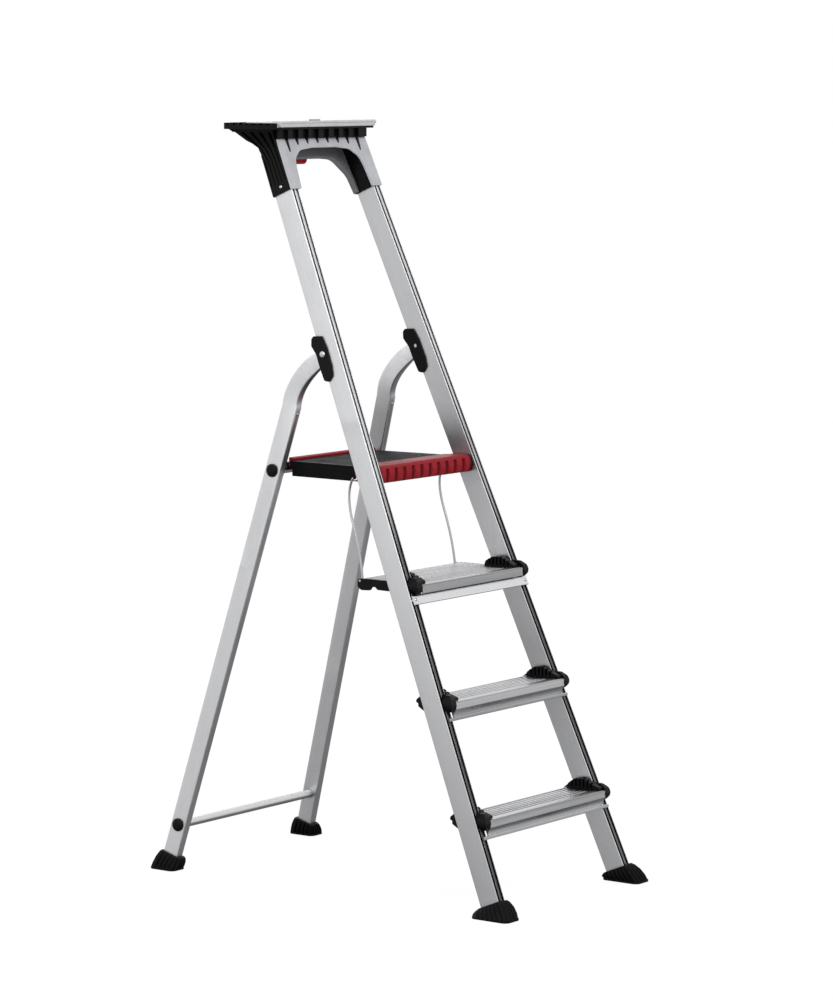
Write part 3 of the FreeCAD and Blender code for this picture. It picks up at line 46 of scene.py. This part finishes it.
# ---------------------------------------------------------------- shading nodes
class Graph:
    """A shader node tree with small helpers; values may be numbers, tuples or sockets."""

    def __init__(self, tree):
        self.tree = tree
        tree.nodes.clear()

    def put(self, socket, value):
        if isinstance(value, bpy.types.NodeSocket):
            self.tree.links.new(value, socket)
        else:
            socket.default_value = value

    def node(self, kind, inputs=None, **settings):
        made = self.tree.nodes.new(kind)
        for key, value in settings.items():
            setattr(made, key, value)
        for key, value in (inputs or {}).items():
            self.put(made.inputs[key], value)
        return made

    def math(self, operation, a, b=0.0):
        inputs = {0: a, 1: b, 2: 0.0}
        return self.node("ShaderNodeMath", inputs, operation=operation).outputs[0]

    def plus(self, total, *rest):
        for value in rest:
            total = self.math("ADD", total, value)
        return total

    def times(self, product, *rest):
        for value in rest:
            product = self.math("MULTIPLY", product, value)
        return product

    def minus(self, a, b):
        return self.math("SUBTRACT", a, b)

    def absolute(self, value):
        return self.math("ABSOLUTE", value)

    def remap(self, value, to, over=(0.3, 0.7)):
        """Clamped linear map; the default source range is the busy middle of a noise."""
        return self.node("ShaderNodeMapRange", {
            "Value": value, "From Min": over[0], "From Max": over[1],
            "To Min": to[0], "To Max": to[1]}).outputs[0]

    def between(self, value, limits, soft):
        """1 inside the limits, 0 outside, with a ramp of +-soft at each."""
        low, high = limits
        rise = self.remap(value, over=(low - soft, low + soft), to=(0.0, 1.0))
        fall = self.remap(value, over=(high - soft, high + soft), to=(1.0, 0.0))
        return self.times(rise, fall)

    def ramp(self, factor, stops, blue=1.0):
        """Grey ramp from (position, level) stops, its blue scaled."""
        made = self.node("ShaderNodeValToRGB", {0: factor})
        elements = made.color_ramp.elements
        while len(elements) < len(stops):
            elements.new(0.5)
        for element, (position, level) in zip(elements, stops):
            element.position = position
            element.color = (level, level, level * blue, 1)
        return made.outputs[0]

    def split(self, vector):
        return self.node("ShaderNodeSeparateXYZ", {0: vector}).outputs

    def camera_ray(self):
        return self.node("ShaderNodeLightPath").outputs["Is Camera Ray"]

    def mix_shader(self, factor, a, b):
        return self.node("ShaderNodeMixShader", {0: factor, 1: a, 2: b}).outputs[0]


class Material(Graph):
    """A procedural material round one Principled shader, in object coordinates."""

    def __init__(self, name):
        self.block = bpy.data.materials.new(name)
        self.block.use_nodes = True
        super().__init__(self.block.node_tree)
        self.principled = self.node("ShaderNodeBsdfPrincipled")
        self.output = self.node("ShaderNodeOutputMaterial", {0: self.principled.outputs[0]})
        self.place = self.node("ShaderNodeTexCoord").outputs["Object"]

    def surface(self, **values):
        for key, value in values.items():
            self.put(self.principled.inputs[key.replace("_", " ")], value)

    def xyz(self):
        return self.split(self.place)

    def true_normal(self):
        return self.node("ShaderNodeNewGeometry").outputs["Normal"]

    def upward(self):
        return self.split(self.true_normal())["Z"]

    def turn(self, angle):
        inputs = {"Vector": self.place, "Angle": angle}
        return self.node("ShaderNodeVectorRotate", inputs, rotation_type="X_AXIS").outputs[0]

    def stretch(self, factors, vector):
        inputs = {0: vector, 1: factors}
        return self.node("ShaderNodeVectorMath", inputs, operation="MULTIPLY").outputs[0]

    def noise(self, vector, scale, detail, rough):
        return self.node("ShaderNodeTexNoise", {
            "Vector": vector, "Scale": scale, "Detail": detail,
            "Roughness": rough}).outputs["Fac"]

    def pits(self, scale):
        inputs = {"Vector": self.place, "Scale": scale}
        return self.node("ShaderNodeTexVoronoi", inputs).outputs["Distance"]

    def mix(self, factor, a, b, blend="MIX"):
        a, b = ((*c, 1) if isinstance(c, tuple) else c for c in (a, b))
        inputs = {"Factor": factor, 6: a, 7: b}
        return self.node("ShaderNodeMix", inputs, data_type="RGBA", blend_type=blend).outputs[2]

    def scaled(self, color, tone):
        inputs = {0: color, "Scale": tone}
        return self.node("ShaderNodeVectorMath", inputs, operation="SCALE").outputs[0]

    def bump(self, height, strength, distance, normal):
        return self.node("ShaderNodeBump", {
            "Height": height, "Strength": strength, "Distance": distance,
            "Normal": normal}).outputs[0]

    def bevel(self, radius):
        return self.node("ShaderNodeBevel", {"Radius": radius}, samples=4).outputs[0]

    def painted_crease_shade(self, distance, darkest, samples=6):
        """Painted shade: a tone that falls to darkest in the creases."""
        occlusion = self.node("ShaderNodeAmbientOcclusion", {"Distance": distance},
                              samples=samples, inside=False)
        return self.remap(occlusion.outputs["AO"], over=(0.0, 0.95), to=(darkest, 1.0))

    def edge(self, radius):
        """Near 1 along sharp edges, where the rounded normal strays from the true one."""
        inputs = {0: self.bevel(radius), 1: self.true_normal()}
        dot = self.node("ShaderNodeVectorMath", inputs, operation="DOT_PRODUCT")
        return self.remap(dot.outputs["Value"], over=(0.995, 0.86), to=(0.0, 1.0))


# ---------------------------------------------------------------- marks tied to places, mostly painted shade
def right_half(m, x):
    return m.remap(x, over=(-0.02, 0.02), to=(0.0, 1.0))


def stile_strip(m, depth_range):
    """x, z and a mask of the middle strip of both stiles at the given depths."""
    x, y, z = m.xyz()
    behind = m.minus(m.plus(y, -STILE_FRONT_Y), m.times(z, math.tan(STILE_LEAN)))
    depth = m.times(behind, math.cos(STILE_LEAN))
    middle = m.minus(STILE_MIDDLE_X, m.times(z, STILE_TAPER))
    across = m.minus(m.absolute(x), middle)
    strip = m.times(
        m.between(depth, depth_range, soft=0.0004),
        m.between(across, (-CHANNEL_HALF_WIDTH, CHANNEL_HALF_WIDTH), soft=0.0001))
    return x, z, strip


def stile_channel_shade(m):
    """Painted shade in the two channels down the front of each stile, fainter above the
    platform.
    """
    _, z, strip = stile_strip(m, CHANNEL_DEPTH)
    return m.times(strip, m.remap(z, over=PLATFORM_FADE, to=(1.0, 0.55)))


def stile_shade(m):
    """Darker land between the channels below the platform; painted shade that varies with
    height.
    """
    x, z, strip = stile_strip(m, LAND_DEPTH)
    land = m.times(strip, m.remap(z, over=PLATFORM_FADE, to=(0.82, 0.05)))
    # Painted shade varying with height: the left stile darker towards its foot, the right one
    # darker around the treads and just under the platform.
    left_tone = m.remap(z, over=(0.05, 0.80), to=(0.68, 1.0))
    dips = m.plus(
        m.times(m.between(z, (0.30, 0.60), soft=0.12), 0.24),
        m.times(m.between(z, (0.85, 0.93), soft=0.05), 0.42))
    right_tone = m.minus(1.0, dips)
    right = right_half(m, x)
    tone = m.plus(m.times(right, right_tone), m.times(m.minus(1.0, right), left_tone))
    return m.times(tone, m.minus(1.0, land))


def leg_shade(m):
    """Painted shade: the right leg is darker around the platform."""
    leg_shade_strength = 0.38
    x, _, z = m.xyz()
    leg_painted_shade = m.times(right_half(m, x), m.between(z, (0.84, 0.98), soft=0.04), leg_shade_strength)
    return m.minus(1.0, leg_painted_shade)


def tread_valley_shade(m):
    """Painted shade in the valleys between the ribs of the three treads."""
    z = m.xyz()[2]
    tops = [TREAD_TOP + i * TREAD_PITCH for i in range(TREAD_COUNT)]
    return m.plus(*(m.between(z, (top - 0.0030, top - 0.0005), soft=0.0003) for top in tops))


def nose_shade(m):
    """Painted shade: darker ends of the platform's nose and darker bottoms of its finger
    grooves.
    """
    end_strength = 0.75
    groove_strength = 0.62
    first_groove = 0.0      # in pitches
    x, y, z = m.xyz()
    ends = m.times(m.between(m.absolute(x), (0.1512, 0.30), soft=0.0003), end_strength)
    count = m.times(m.plus(x, NOSE_ORIGIN), 1.0 / NOSE_PITCH)
    # distance to the nearest groove middle, in pitches
    off = m.absolute(m.minus(m.math("FRACT", count), first_groove))
    off = m.math("MINIMUM", off, m.minus(1.0, off))
    grooves = m.times(
        m.remap(off, over=(0.12, 0.20), to=(1.0, 0.0)),
        m.between(y, (-0.0742, -0.060), soft=0.0006),
        m.between(z, (0.822, 0.8603), soft=0.0004),
        groove_strength)
    return m.math("MAXIMUM", ends, grooves)


def tray_tips(m):
    """Both side ends of the tray, towards the back."""
    x, y, z = m.xyz()
    return m.times(
        m.between(m.absolute(x), (0.128, 0.30), soft=0.0004),
        m.between(y, (0.330, 0.50), soft=0.0004),
        m.between(z, (1.537, 1.60), soft=0.0004))


# ---------------------------------------------------------------- material families
def aluminium(name, base, rough, lean=0.0, along_x=False, painted_shade_mask=None, painted_shade_amount=0.0,
              streaks=0.0, shade=None):
    """Satin extrusion: die lines along its length, fine grain, painted shade in the corners."""
    m = Material(name)
    place = m.turn(lean)

    def drawn(squeeze):
        factors = (squeeze, 1.0, 1.0) if along_x else (1.0, 1.0, squeeze)
        return m.stretch(factors, place)

    lines = m.noise(drawn(0.012), scale=620, detail=3, rough=0.6)
    fine = m.noise(drawn(0.05), scale=1900, detail=2, rough=0.5)
    grain = m.noise(place, scale=1300, detail=3, rough=0.65)
    cloud = m.noise(place, scale=9, detail=4, rough=0.55)
    spots = m.noise(place, scale=330, detail=4, rough=0.7)
    tone = m.times(
        m.remap(lines, to=(0.93, 1.04)),
        m.remap(grain, over=(0.25, 0.75), to=(0.94, 1.05)),
        m.remap(spots, to=(0.955, 1.035)),
        m.remap(cloud, to=(0.965, 1.03)),
        m.painted_crease_shade(distance=0.007, darkest=0.40))
    if streaks:
        wide = m.stretch((0.6, 34.0, 34.0), m.place)
        broad = m.noise(wide, scale=1.0, detail=2, rough=0.55)
        span = (1.0 - streaks, 1.0 + 0.25 * streaks)
        tone = m.times(tone, m.remap(broad, over=(0.36, 0.62), to=span))
    if shade:
        tone = m.times(m.math("MINIMUM", tone, 1.0), shade(m))

    tint = (base, base * 1.005, base * 1.02)    # slightly blue
    grey = m.ramp(tone, stops=[(0.0, 0.0), (1.0, 1.0)])
    color = m.mix(1.0, grey, tint, blend="MULTIPLY")
    edge = m.edge(radius=0.0009)
    color = m.mix(m.times(edge, 0.55), color, (0.86, 0.865, 0.875))     # bright edges: rubbed wear and a painted highlight
    if shade:
        edge = m.times(edge, 0.5)
    # Painted shade: a near-black colour mixed in over the mask, in the stile channels and the
    # tread valleys.
    if painted_shade_mask:
        color = m.mix(m.times(painted_shade_mask(m), painted_shade_amount), color, (0.012, 0.012, 0.013))

    gloss = m.remap(m.plus(lines, cloud), over=(0.6, 1.4), to=(rough - 0.06, rough + 0.09))
    gloss = m.minus(gloss, m.times(edge, 0.08))     # edges are polished
    relief = m.bump(m.plus(lines, m.times(fine, 0.5)), strength=0.22, distance=0.00012,
                    normal=m.bevel(radius=0.0007))
    relief = m.bump(grain, strength=0.10, distance=0.00012, normal=relief)
    m.surface(Base_Color=color, Metallic=1.0, Roughness=gloss, Normal=relief,
              Anisotropic=0.35)
    return m.block


def plastic(name, base, rough, edge_light, spec, grain=1500, crease_shade_darkest=0.45, dust=0.0,
            shaded_sides=None, patch=None, patch_color=None):
    """Moulded plastic: eroded grain, slight tone drift, lighter edges (partly rubbed wear,
    partly painted highlight), painted shade in the corners.
    """
    m = Material(name)
    erosion = m.noise(m.place, scale=grain, detail=3, rough=0.6)
    cloud = m.noise(m.place, scale=22, detail=4, rough=0.6)
    flow = m.noise(m.stretch((1.0, 1.0, 0.25), m.place), scale=70, detail=3, rough=0.55)
    tone = m.times(
        m.remap(erosion, to=(0.90, 1.10)),
        m.remap(cloud, to=(0.90, 1.12)),
        m.remap(flow, to=(0.95, 1.05)),
        m.painted_crease_shade(distance=0.006, darkest=crease_shade_darkest))
    color = m.scaled(base, tone)
    # Painted shade: faces that stand upright take a darker colour than the top.
    if shaded_sides is not None:
        side_shade = m.remap(m.upward(), over=(0.5, 0.8), to=(1.0, 0.0))
        color = m.mix(side_shade, color, shaded_sides)
    if patch:
        color = m.mix(patch(m), color, patch_color)
    # Lighter edges: partly rubbed wear, partly a painted highlight.
    edge = m.edge(radius=0.0008)
    lighter = tuple(min(1.0, channel * 1.6 + 0.03) for channel in base)
    color = m.mix(m.times(edge, edge_light), color, lighter)
    if dust:
        level = m.remap(m.upward(), over=(0.3, 1.0), to=(0.0, dust))
        patchy = m.remap(cloud, over=(0.35, 0.75), to=(0.2, 1.0))
        color = m.mix(m.times(level, patchy), color, (0.20, 0.20, 0.20))

    gloss = m.remap(cloud, to=(rough - 0.1, rough + 0.1))
    gloss = m.plus(gloss, m.times(edge, -0.10))     # edges are polished
    relief = m.bump(erosion, strength=0.30, distance=0.00012, normal=m.bevel(radius=0.0006))
    relief = m.bump(m.pits(scale=grain * 0.7), strength=0.12, distance=0.00012,
                    normal=relief)
    m.surface(Base_Color=color, Roughness=gloss, Normal=relief, IOR=1.48,
              Specular_IOR_Level=spec)
    return m.block


def steel(name, base, rough):
    """Bright zinc plate: faint drawing lines, small matt freckles, painted shade in the
    corners.
    """
    m = Material(name)
    lines = m.noise(m.stretch((1, 1, 0.03), m.place), scale=1600, detail=2, rough=0.6)
    freckles = m.noise(m.place, scale=420, detail=4, rough=0.7)
    tone = m.times(
        m.remap(freckles, over=(0.3, 0.75), to=(0.88, 1.06)),
        m.remap(lines, to=(0.95, 1.04)),
        m.painted_crease_shade(distance=0.004, darkest=0.45, samples=4))
    m.surface(
        Base_Color=m.scaled(base, tone), Metallic=1.0,
        Roughness=m.remap(freckles, to=(rough - 0.05, rough + 0.10)),
        Normal=m.bump(lines, strength=0.12, distance=0.00008,
                      normal=m.bevel(radius=0.0004)))
    return m.block


MATERIALS = {
    "stile": aluminium("stile_aluminium", base=0.66, rough=0.33, lean=STILE_LEAN,
                       painted_shade_mask=stile_channel_shade, painted_shade_amount=0.93, shade=stile_shade),
    "leg": aluminium("leg_aluminium", base=0.65, rough=0.34, lean=-LEG_LEAN,
                     shade=leg_shade),
    "tread": aluminium("tread_aluminium", base=0.57, rough=0.26, along_x=True,
                       painted_shade_mask=tread_valley_shade, painted_shade_amount=0.42, streaks=0.32),
    "tube": aluminium("tube_aluminium", base=0.62, rough=0.26, along_x=True),
    "rail": aluminium("rail_aluminium", base=0.66, rough=0.26, along_x=True),
    "black": plastic("black_plastic", base=(0.0026, 0.0026, 0.0029), rough=0.38,
                     edge_light=0.22, spec=0.11,
                     patch=tray_tips, patch_color=(0.16, 0.16, 0.17)),
    "charcoal": plastic("charcoal_plastic", base=(0.105, 0.106, 0.110), rough=0.44,
                        edge_light=0.26, spec=0.36),
    "deck": plastic("deck_plastic", base=(0.0125, 0.0127, 0.0142), rough=0.52,
                    edge_light=0.60, spec=0.05, grain=1100, dust=0.02,
                    shaded_sides=(0.0034, 0.0034, 0.0038)),
    "grey": plastic("grey_plastic", base=(0.335, 0.34, 0.355), rough=0.38,
                    edge_light=0.35, spec=0.4, crease_shade_darkest=0.22),
    "strip": plastic("strip_plastic", base=(0.36, 0.365, 0.37), rough=0.34,
                     edge_light=0.75, spec=0.5, crease_shade_darkest=0.22),
    "red": plastic("red_plastic", base=(0.205, 0.0060, 0.0115), rough=0.42,
                   edge_light=0.10, spec=0.085, crease_shade_darkest=0.20,
                   patch=nose_shade, patch_color=(0.022, 0.002, 0.003)),
    "rubber": plastic("foot_rubber", base=(0.0017, 0.0017, 0.0019), rough=0.46,
                      edge_light=0.22, spec=0.08, grain=900, dust=0.02),
    "steel": steel("zinc_steel", base=(0.62, 0.62, 0.63), rough=0.22),
    "rod": steel("stay_steel", base=(0.50, 0.50, 0.51), rough=0.26),
}

# ---------------------------------------------------------------- dressing the frame's pieces
FINISH_BY_NAME = {
    "top_tread_panel": "tread", "top_tread_rail": "rail",
    "rest_tube": "tube", "cross_tube": "tube",
    "platform_nose": "red", "platform_rear_edge": "red", "bucket_hook": "red",
    "platform_deck": "deck",
    "tray_fascia": "grey", "tray_top_panel": "strip", "tray_handle": "charcoal",
}
FINISH_BY_START = {
    "stile": "stile", "rear_leg": "leg",
    "tread_bottom": "tread", "tread_middle": "tread",
    "front_foot": "rubber", "rear_foot": "rubber", "stay_rod": "rod",
}


def finish_of(name):
    """Whole names first, then beginnings, then small metal parts; the rest is black."""
    if name in FINISH_BY_NAME:
        return FINISH_BY_NAME[name]
    for start, finish in FINISH_BY_START.items():
        if name.startswith(start):
            return finish
    if any(part in name for part in ("pin", "rivet", "screw")):
        return "steel"
    return "black"


def smooth_group():
    """Welds the facets' shared corners and smooths every edge flatter than the limit."""
    group = bpy.data.node_groups.new("weld_and_smooth", "GeometryNodeTree")
    for direction in ("INPUT", "OUTPUT"):
        group.interface.new_socket("Geometry", in_out=direction,
                                   socket_type="NodeSocketGeometry")
    new, link = group.nodes.new, group.links.new
    group_in, group_out = new("NodeGroupInput"), new("NodeGroupOutput")
    weld = new("GeometryNodeMergeByDistance")
    weld.inputs["Distance"].default_value = 1e-6

    def set_smooth(domain, smooth):
        shading = new("GeometryNodeSetShadeSmooth")
        shading.domain = domain
        shading.inputs["Shade Smooth"].default_value = smooth
        return shading

    smooth_faces = set_smooth("FACE", True)
    sharp_edges = set_smooth("EDGE", False)
    angle = new("GeometryNodeInputMeshEdgeAngle")
    is_sharp = new("FunctionNodeCompare")
    is_sharp.data_type = "FLOAT"
    is_sharp.operation = "GREATER_THAN"
    is_sharp.inputs[1].default_value = SMOOTH_LIMIT
    link(angle.outputs["Unsigned Angle"], is_sharp.inputs[0])
    link(is_sharp.outputs[0], sharp_edges.inputs["Selection"])
    chain = (group_in, weld, smooth_faces, sharp_edges)
    for before, after in zip(chain, chain[1:]):
        link(before.outputs[0], after.inputs["Geometry"])
    link(sharp_edges.outputs[0], group_out.inputs[0])
    return group


SMOOTH = smooth_group()
for name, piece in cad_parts.items():
    piece.data.materials.clear()
    piece.data.materials.append(MATERIALS[finish_of(name)])
    piece.modifiers.new("smooth", "NODES").node_group = SMOOTH


# ---------------------------------------------------------------- floor and world
def add_object(name, data):
    made = bpy.data.objects.new(name, data)
    bpy.context.scene.collection.objects.link(made)
    return made


def floor_material():
    """Matt and pale, but mostly plain white to the camera."""
    m = Material("pale_floor")
    mottle = m.noise(m.place, scale=3.0, detail=3, rough=0.5)
    m.surface(Base_Color=m.ramp(mottle, stops=[(0.0, 0.93), (1.0, 0.95)]),
              Roughness=0.9, Specular_IOR_Level=0.0)
    glow = m.node("ShaderNodeEmission", {"Strength": 1.0}).outputs[0]
    glow_share = m.times(m.camera_ray(), 0.93)
    m.put(m.output.inputs[0], m.mix_shader(glow_share, m.principled.outputs[0], glow))
    return m.block


def add_floor():
    mesh = bpy.data.meshes.new("floor")
    grid = bmesh.new()
    bmesh.ops.create_grid(grid, x_segments=8, y_segments=8, size=60.0)
    grid.to_mesh(mesh)
    grid.free()
    floor = add_object("floor", mesh)
    mesh.materials.append(floor_material())
    floor.visible_glossy = False


# (position, level): position 0 looks straight down, 0.5 at the horizon, 1 straight up
SKY_STOPS = [
    (0.0, 0.15), (0.32, 0.22), (0.39, 0.60), (0.455, 0.88),
    (0.50, 0.98), (0.62, 1.06), (0.80, 1.15), (1.0, 1.0),
]


def add_world():
    """A sky graded by height for lighting, plain white to the camera."""
    world = bpy.data.worlds.new("studio")
    bpy.context.scene.world = world
    world.use_nodes = True
    g = Graph(world.node_tree)
    up = g.split(g.node("ShaderNodeTexCoord").outputs["Generated"])["Z"]
    sky = g.ramp(g.remap(up, over=(-1, 1), to=(0, 1)), SKY_STOPS, blue=1.01)
    lighting, backdrop = (
        g.node("ShaderNodeBackground", {"Color": color, "Strength": 1.0}).outputs[0]
        for color in (sky, (1, 1, 1, 1)))
    g.node("ShaderNodeOutputWorld", {0: g.mix_shader(g.camera_ray(), lighting, backdrop)})


# ---------------------------------------------------------------- lights and camera
def aim(thing, location, target):
    thing.location = location
    thing.rotation_mode = "QUATERNION"
    direction = Vector(target) - Vector(location)
    thing.rotation_quaternion = direction.to_track_quat("-Z", "Y")


def add_area(name, location, target, size, energy, size_y=None):
    light = bpy.data.lights.new(name, "AREA")
    light.energy = energy
    light.size = size
    if size_y:
        light.shape = "RECTANGLE"
        light.size_y = size_y
    aim(add_object(name, light), location, target)


def add_camera():
    data = bpy.data.cameras.new("camera")
    data.lens = 142.64
    data.sensor_width = 36.0
    data.clip_end = 300
    camera = add_object("camera", data)
    aim(camera, location=(-6.4725, -4.8281, 1.6714), target=(-0.25086, -0.2340, 0.81822))
    bpy.context.scene.camera = camera


add_floor()
add_world()
add_area("key", location=(-1.6, -4.2, 4.4), target=(0, 0, 0.7), size=2.6, energy=80)
add_area("side", location=(-4.6, 0.4, 2.6), target=(0, 0, 0.8), size=2.4, energy=45,
         size_y=2.0)
add_area("back", location=(2.6, 3.4, 3.4), target=(0, 0, 0.8), size=2.2, energy=45)
add_camera()

view = bpy.context.scene.view_settings
view.view_transform = "Standard"
view.look = "None"
view.exposure = 0.0
